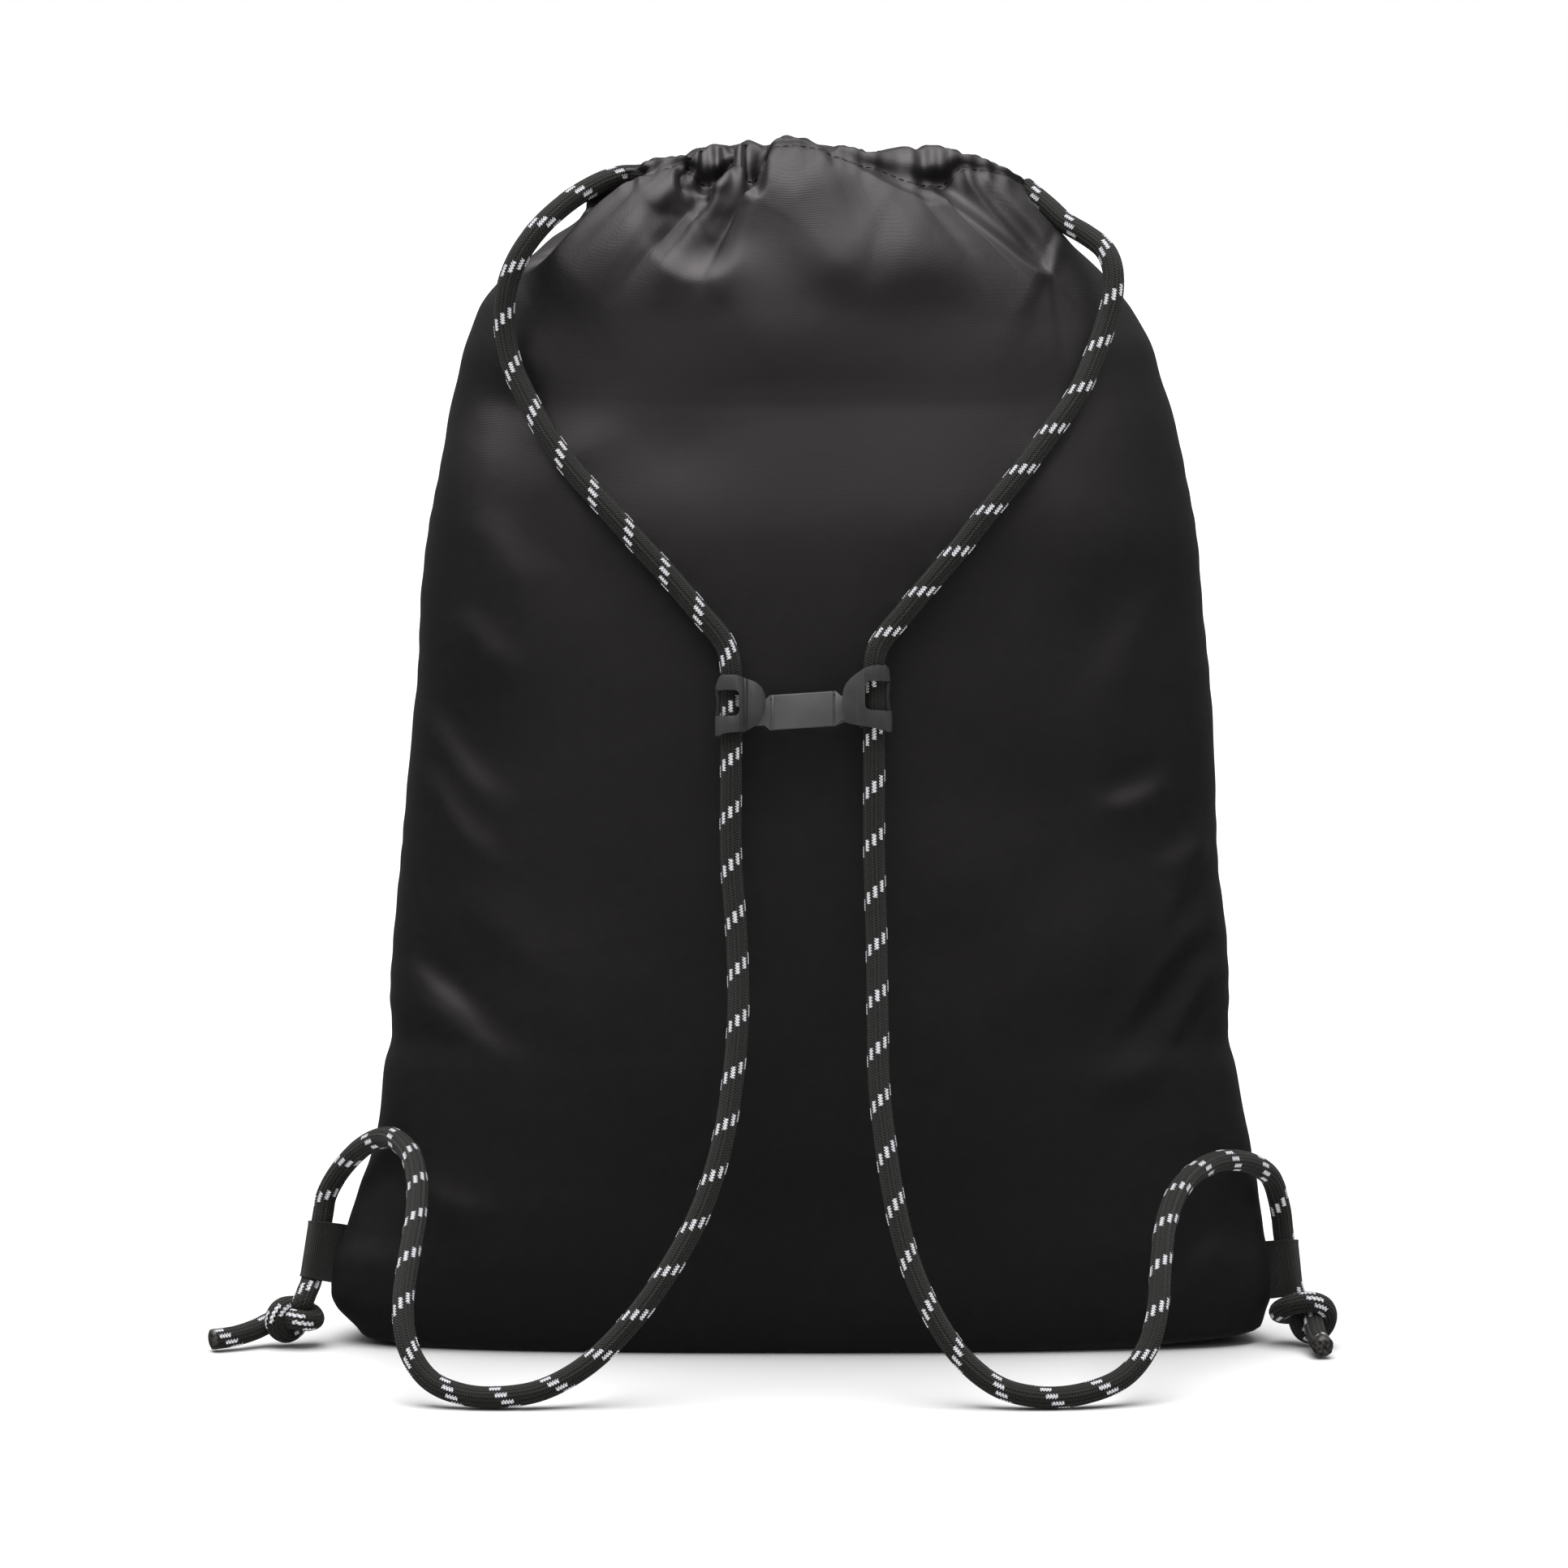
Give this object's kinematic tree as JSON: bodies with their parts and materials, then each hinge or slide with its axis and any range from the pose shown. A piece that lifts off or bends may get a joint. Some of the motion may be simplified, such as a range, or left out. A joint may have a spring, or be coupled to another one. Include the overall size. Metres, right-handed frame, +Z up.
{
  "type": "drawstring backpack",
  "caption": "Stuffed drawstring backpack of black satin cloth with a gathered mouth, braided cord straps knotted through web loops, and a sliding sternum strap",
  "frame": {"origin": "on the ground, under the middle of the bag's box", "axes": "+Z up; the cords and the sternum strap are on the -Y side; +X to the right as that side is seen from in front"},
  "size_m": [0.4292, 0.2391, 0.459],
  "materials": {
    "bag_cloth": "fine black polyester weave with a satin sheen",
    "binding_tape": "matt black woven tape",
    "web_ribbed": "black ribbed webbing",
    "cord_braid": "round black braid with a white tracer winding round it",
    "melted_cord": "cord end sealed by heat",
    "clip_plastic": "moulded plastic with a fine satin grain",
    "band_rubber": "matt moulded rubber"
  },
  "bodies": {
    "bag": {"back_panel": "bag_cloth", "front_panel": "bag_cloth", "base_panel": "bag_cloth", "back_casing": "bag_cloth", "front_casing": "bag_cloth", "left_seam_binding": "binding_tape", "right_seam_binding": "binding_tape", "left_cord": "cord_braid", "right_cord": "cord_braid", "left_cord_in_casing": "cord_braid", "right_cord_in_casing": "cord_braid"},
    "left_clip": {"left_cord_clip": "clip_plastic"},
    "band": {"sternum_band": "band_rubber", "band_plate": "band_rubber"},
    "right_clip": {"right_cord_clip": "clip_plastic"},
    "left_loop": {"left_web_loop": "web_ribbed", "left_knot": "cord_braid", "left_cord_tail": "cord_braid", "left_cord_tip": "melted_cord"},
    "right_loop": {"right_web_loop": "web_ribbed", "right_knot": "cord_braid", "right_cord_tail": "cord_braid", "right_cord_tip": "melted_cord"}
  },
  "joints": [
    {"name": "sternum_slide", "type": "slide", "parent": "bag", "child": "left_clip", "axis": [0, 0.1676, 0.9859], "range_m": [-0.045, 0], "deforming": ["left_cord", "right_cord"]},
    {"name": "band_swing", "type": "hinge", "parent": "left_clip", "child": "band", "pos_m": [-0.0165, -0.0785, 0.25], "axis": [0, 0.1676, 0.9859], "range_deg": [-35, 0]},
    {"name": "right_clip_swing", "type": "hinge", "parent": "band", "child": "right_clip", "pos_m": [0.0171, -0.0785, 0.25], "axis": [0, 0.1676, 0.9859], "range_deg": [-35, 0]},
    {"name": "left_loop_swing", "type": "hinge", "parent": "bag", "child": "left_loop", "pos_m": [-0.179, -0.02, 0.037], "axis": [0, 0, 1], "range_deg": [-20, 20]},
    {"name": "right_loop_swing", "type": "hinge", "parent": "bag", "child": "right_loop", "pos_m": [0.18, -0.02, 0.03], "axis": [0, 0, 1], "range_deg": [-20, 20]}
  ]
}
